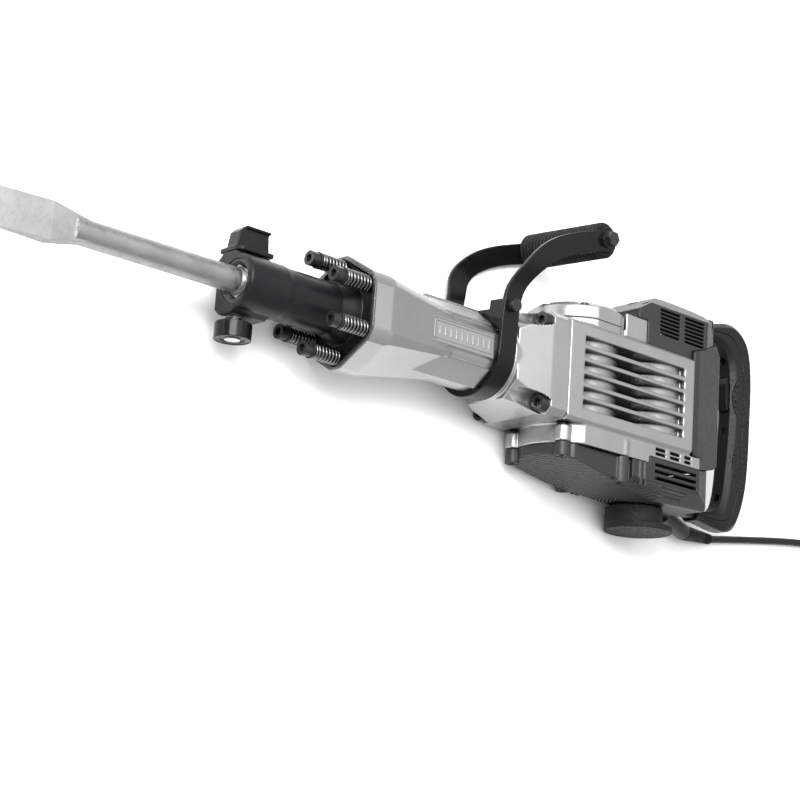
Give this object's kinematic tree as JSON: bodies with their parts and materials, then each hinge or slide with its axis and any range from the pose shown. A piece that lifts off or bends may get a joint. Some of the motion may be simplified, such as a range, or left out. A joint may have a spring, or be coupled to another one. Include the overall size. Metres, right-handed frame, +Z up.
{
  "type": "electric demolition hammer",
  "caption": "Electric demolition hammer lying on its side: sprung nose with a flat chisel, finned case, looped rear handle, swivelling side handle, and mains cord with a wound length and plug.",
  "frame": {"origin": "middle of the hammer's footprint on the floor it lies on, measured without the cord", "axes": "+X along the hammer from the chisel to the rear handle, +Y towards the side handle's grip, +Z up"},
  "size_m": [1.4274, 0.3261, 0.1409],
  "materials": {
    "cast_alloy": "cast and satin",
    "bare_steel": "machined",
    "dark_steel": "dark oiled",
    "bright_steel": "plated",
    "black_fittings": "satin black",
    "dark_plastic": "moulded, lightly textured",
    "black_rubber": "matt",
    "copper_wire": "enamelled wire",
    "bearing_steel": "ground",
    "carbon": "pressed carbon",
    "core_steel": "laminated"
  },
  "bodies": {
    "tool": {"cylinder_case": "cast_alloy", "cushion_bolts": "dark_steel", "cushion_washers": "dark_steel", "damper_ring": "black_rubber", "case_bolts": "dark_steel", "cylinder_liner": "bare_steel", "liner_seals": "black_rubber", "crank_case": "cast_alloy", "crank_bearings": "bearing_steel", "middle_bearings": "bearing_steel", "gear_cover": "dark_plastic", "gear_cover_screws": "dark_steel", "crank_cover": "cast_alloy", "crank_cover_screws": "dark_steel", "stator": "core_steel", "stator_coils": "copper_wire", "armature_bearings": "bearing_steel", "brush_holders": "bearing_steel", "carbon_brushes": "carbon", "motor_cover": "dark_plastic", "motor_cover_screws": "dark_steel", "tail_cover": "dark_plastic", "handle_outer_half": "dark_plastic", "handle_inner_half": "dark_plastic", "handle_screws": "dark_steel", "switch": "dark_plastic", "rest_foot": "black_rubber", "cord_guard": "black_rubber", "cord": "black_rubber", "cord_coil": "black_rubber", "cord_tie": "black_rubber", "plug": "black_rubber"},
    "nose": {"front_cover": "black_fittings", "nose_bush": "dark_steel", "cushion_springs": "bare_steel"},
    "retainer_cup": {"retainer_knob": "black_fittings", "retainer_spring": "dark_steel"},
    "retainer": {"retainer_shaft": "bright_steel", "retainer_lever": "black_fittings"},
    "chisel": {"flat_chisel": "bare_steel"},
    "impact_bolt": {"impact_bolt": "bare_steel"},
    "striker": {"striker": "bare_steel", "striker_seals": "black_rubber"},
    "piston": {"piston": "cast_alloy", "piston_pin": "bare_steel"},
    "connecting_rod": {"connecting_rod": "cast_alloy"},
    "crank": {"crank_shaft": "bare_steel", "crank_gear": "bare_steel"},
    "middle": {"middle_shaft": "bare_steel", "middle_gear": "bare_steel"},
    "rotor": {"armature": "core_steel", "commutator": "copper_wire", "fan": "dark_plastic"},
    "trigger": {"trigger": "dark_plastic", "trigger_spring": "dark_steel"},
    "side_handle": {"side_strap": "black_fittings", "clamp_block": "black_fittings", "clamp_bolts": "dark_steel", "side_grip": "black_rubber", "grip_bolt": "dark_steel"}
  },
  "joints": [
    {"name": "nose_slide", "type": "slide", "parent": "tool", "child": "nose", "axis": [1, 0, 0], "range_m": [-0.008, 0], "stiffness_N_per_m": 20000, "deforming": ["cushion_springs"]},
    {"name": "retainer_pull", "type": "slide", "parent": "nose", "child": "retainer_cup", "axis": [0, 1, 0], "range_m": [0, 0.004], "stiffness_N_per_m": 2000, "deforming": ["retainer_spring"]},
    {"name": "retainer_turn", "type": "hinge", "parent": "retainer_cup", "child": "retainer", "pos_m": [-0.2395, -0.016, 0.038], "axis": [0, 1, 0], "range_deg": [0, 180]},
    {"name": "chisel_slide", "type": "slide", "parent": "nose", "child": "chisel", "axis": [1, 0, 0], "range_m": [-0.016, 0.004]},
    {"name": "impact_bolt_slide", "type": "slide", "parent": "tool", "child": "impact_bolt", "axis": [1, 0, 0], "range_m": [-0.01, 0.004]},
    {"name": "striker_slide", "type": "slide", "parent": "tool", "child": "striker", "axis": [1, 0, 0], "range_m": [-0.013, 0.045]},
    {"name": "piston_slide", "type": "slide", "parent": "tool", "child": "piston", "axis": [1, 0, 0], "range_m": [-0.048, 0]},
    {"name": "rod_swing", "type": "hinge", "parent": "piston", "child": "connecting_rod", "pos_m": [0.1185, -0.016, 0.056], "axis": [0, 1, 0], "range_deg": [-10, 10]},
    {"name": "crank_spin", "type": "hinge", "parent": "tool", "child": "crank", "pos_m": [0.2305, -0.016, 0.056], "axis": [0, 1, 0], "continuous": true},
    {"name": "middle_spin", "type": "hinge", "parent": "tool", "child": "middle", "pos_m": [0.293, -0.016, 0.056], "axis": [0, 1, 0], "continuous": true},
    {"name": "rotor_spin", "type": "hinge", "parent": "tool", "child": "rotor", "pos_m": [0.3435, -0.016, 0.056], "axis": [0, 1, 0], "continuous": true},
    {"name": "trigger_press", "type": "slide", "parent": "tool", "child": "trigger", "axis": [1, 0, 0], "range_m": [0, 0.006], "stiffness_N_per_m": 1500, "deforming": ["trigger_spring"]},
    {"name": "side_handle_swing", "type": "hinge", "parent": "tool", "child": "side_handle", "pos_m": [0.0775, -0.016, 0.056], "axis": [1, 0, 0], "range_deg": [-4, 90]}
  ],
  "couplings": [
    {"joint": "middle_spin", "follows": "crank_spin", "ratio": -2.5714},
    {"joint": "rotor_spin", "follows": "crank_spin", "ratio": 10.286}
  ]
}
